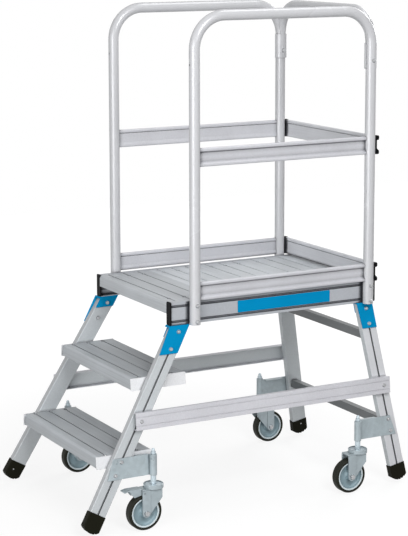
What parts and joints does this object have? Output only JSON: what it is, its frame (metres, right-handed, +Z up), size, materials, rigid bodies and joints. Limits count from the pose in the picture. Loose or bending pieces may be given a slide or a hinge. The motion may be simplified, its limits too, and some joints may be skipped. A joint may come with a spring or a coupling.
{
  "type": "podium step",
  "caption": "Mobile podium step with open treads, a guarded platform, toe boards and rails, splayed legs on rubber feet and sprung swivel castors.",
  "frame": {"origin": "middle of the footprint on the floor", "axes": "+Z up, the steps face -Y, +X to the right of someone climbing"},
  "size_m": [0.774, 1.3168, 1.766],
  "materials": {
    "tread_alloy": "ribbed mill-finish extrusion",
    "frame_alloy": "mill-finish extrusion",
    "tube_alloy": "satin drawn tube",
    "rail_alloy": "mill-finish extrusion",
    "blue_coat": "satin powder coat",
    "foot_rubber": "matt moulded rubber",
    "black_cap": "moulded plastic",
    "bright_zinc": "bright zinc plate",
    "zinc_plate": "blue zinc plate",
    "spring_wire": "drawn spring wire",
    "wheel_core": "moulded plastic",
    "wheel_tyre": "smooth rubber"
  },
  "bodies": {
    "frame": {"deck_nosing": "tread_alloy", "deck_planks": "tread_alloy", "platform_beam_left": "frame_alloy", "platform_beam_right": "frame_alloy", "front_leg_left": "frame_alloy", "front_leg_right": "frame_alloy", "rear_leg_left": "frame_alloy", "rear_leg_right": "frame_alloy", "front_leg_brackets": "blue_coat", "rear_leg_brackets": "blue_coat", "front_feet": "foot_rubber", "rear_feet": "foot_rubber", "lower_tread": "tread_alloy", "upper_tread": "tread_alloy", "tread_end_plates": "tread_alloy", "side_brace_left": "frame_alloy", "side_brace_right": "frame_alloy", "rear_brace_upper": "frame_alloy", "rear_brace_lower": "frame_alloy", "guard_hoop_left": "tube_alloy", "guard_hoop_right": "tube_alloy", "rear_top_rail": "tube_alloy", "knee_rail_left": "rail_alloy", "knee_rail_right": "rail_alloy", "knee_rail_rear": "rail_alloy", "toe_board_left": "rail_alloy", "toe_board_right": "rail_alloy", "toe_board_rear": "rail_alloy", "end_caps": "black_cap", "frame_bolts": "bright_zinc", "castor_bracket_front_left": "zinc_plate", "castor_bracket_front_right": "zinc_plate", "castor_bracket_rear_left": "zinc_plate", "castor_bracket_rear_right": "zinc_plate", "castor_spring_front_left": "spring_wire", "castor_spring_front_right": "spring_wire", "castor_spring_rear_left": "spring_wire", "castor_spring_rear_right": "spring_wire"},
    "front_left_stem": {"castor_stem_front_left": "zinc_plate"},
    "front_left_fork": {"castor_fork_front_left": "zinc_plate", "castor_axle_front_left": "bright_zinc"},
    "front_left_wheel": {"castor_wheel_front_left": "wheel_core", "castor_tyre_front_left": "wheel_tyre"},
    "front_left_pedal": {"brake_pedal_left": "zinc_plate"},
    "front_right_stem": {"castor_stem_front_right": "zinc_plate"},
    "front_right_fork": {"castor_fork_front_right": "zinc_plate", "castor_axle_front_right": "bright_zinc"},
    "front_right_wheel": {"castor_wheel_front_right": "wheel_core", "castor_tyre_front_right": "wheel_tyre"},
    "front_right_pedal": {"brake_pedal_right": "zinc_plate"},
    "rear_left_stem": {"castor_stem_rear_left": "zinc_plate"},
    "rear_left_fork": {"castor_fork_rear_left": "zinc_plate", "castor_axle_rear_left": "bright_zinc"},
    "rear_left_wheel": {"castor_wheel_rear_left": "wheel_core", "castor_tyre_rear_left": "wheel_tyre"},
    "rear_right_stem": {"castor_stem_rear_right": "zinc_plate"},
    "rear_right_fork": {"castor_fork_rear_right": "zinc_plate", "castor_axle_rear_right": "bright_zinc"},
    "rear_right_wheel": {"castor_wheel_rear_right": "wheel_core", "castor_tyre_rear_right": "wheel_tyre"}
  },
  "joints": [
    {"name": "front_left_spring_travel", "type": "slide", "parent": "frame", "child": "front_left_stem", "axis": [0, 0, 1], "range_m": [0, 0.018], "stiffness_N_per_m": 6000, "springref_m": -0.02, "deforming": ["castor_spring_front_left"]},
    {"name": "front_left_swivel", "type": "hinge", "parent": "front_left_stem", "child": "front_left_fork", "pos_m": [-0.352, -0.39246, 0.15], "axis": [0, 0, 1], "continuous": true},
    {"name": "front_left_roll", "type": "hinge", "parent": "front_left_fork", "child": "front_left_wheel", "pos_m": [-0.352, -0.35446, 0.0625], "axis": [1, 0, 0], "continuous": true},
    {"name": "left_brake", "type": "hinge", "parent": "front_left_fork", "child": "front_left_pedal", "pos_m": [-0.352, -0.34746, 0.134], "axis": [-1, 0, 0], "range_deg": [0, 11]},
    {"name": "front_right_spring_travel", "type": "slide", "parent": "frame", "child": "front_right_stem", "axis": [0, 0, 1], "range_m": [0, 0.018], "stiffness_N_per_m": 6000, "springref_m": -0.02, "deforming": ["castor_spring_front_right"]},
    {"name": "front_right_swivel", "type": "hinge", "parent": "front_right_stem", "child": "front_right_fork", "pos_m": [0.352, -0.39246, 0.15], "axis": [0, 0, 1], "continuous": true},
    {"name": "front_right_roll", "type": "hinge", "parent": "front_right_fork", "child": "front_right_wheel", "pos_m": [0.352, -0.43046, 0.0625], "axis": [1, 0, 0], "continuous": true},
    {"name": "right_brake", "type": "hinge", "parent": "front_right_fork", "child": "front_right_pedal", "pos_m": [0.352, -0.43746, 0.134], "axis": [1, 0, 0], "range_deg": [0, 11]},
    {"name": "rear_left_spring_travel", "type": "slide", "parent": "frame", "child": "rear_left_stem", "axis": [0, 0, 1], "range_m": [0, 0.018], "stiffness_N_per_m": 6000, "springref_m": -0.02, "deforming": ["castor_spring_rear_left"]},
    {"name": "rear_left_swivel", "type": "hinge", "parent": "rear_left_stem", "child": "rear_left_fork", "pos_m": [-0.352, 0.44554, 0.15], "axis": [0, 0, 1], "continuous": true},
    {"name": "rear_left_roll", "type": "hinge", "parent": "rear_left_fork", "child": "rear_left_wheel", "pos_m": [-0.352, 0.48354, 0.0625], "axis": [1, 0, 0], "continuous": true},
    {"name": "rear_right_spring_travel", "type": "slide", "parent": "frame", "child": "rear_right_stem", "axis": [0, 0, 1], "range_m": [0, 0.018], "stiffness_N_per_m": 6000, "springref_m": -0.02, "deforming": ["castor_spring_rear_right"]},
    {"name": "rear_right_swivel", "type": "hinge", "parent": "rear_right_stem", "child": "rear_right_fork", "pos_m": [0.352, 0.44554, 0.15], "axis": [0, 0, 1], "continuous": true},
    {"name": "rear_right_roll", "type": "hinge", "parent": "rear_right_fork", "child": "rear_right_wheel", "pos_m": [0.352, 0.40754, 0.0625], "axis": [1, 0, 0], "continuous": true}
  ]
}
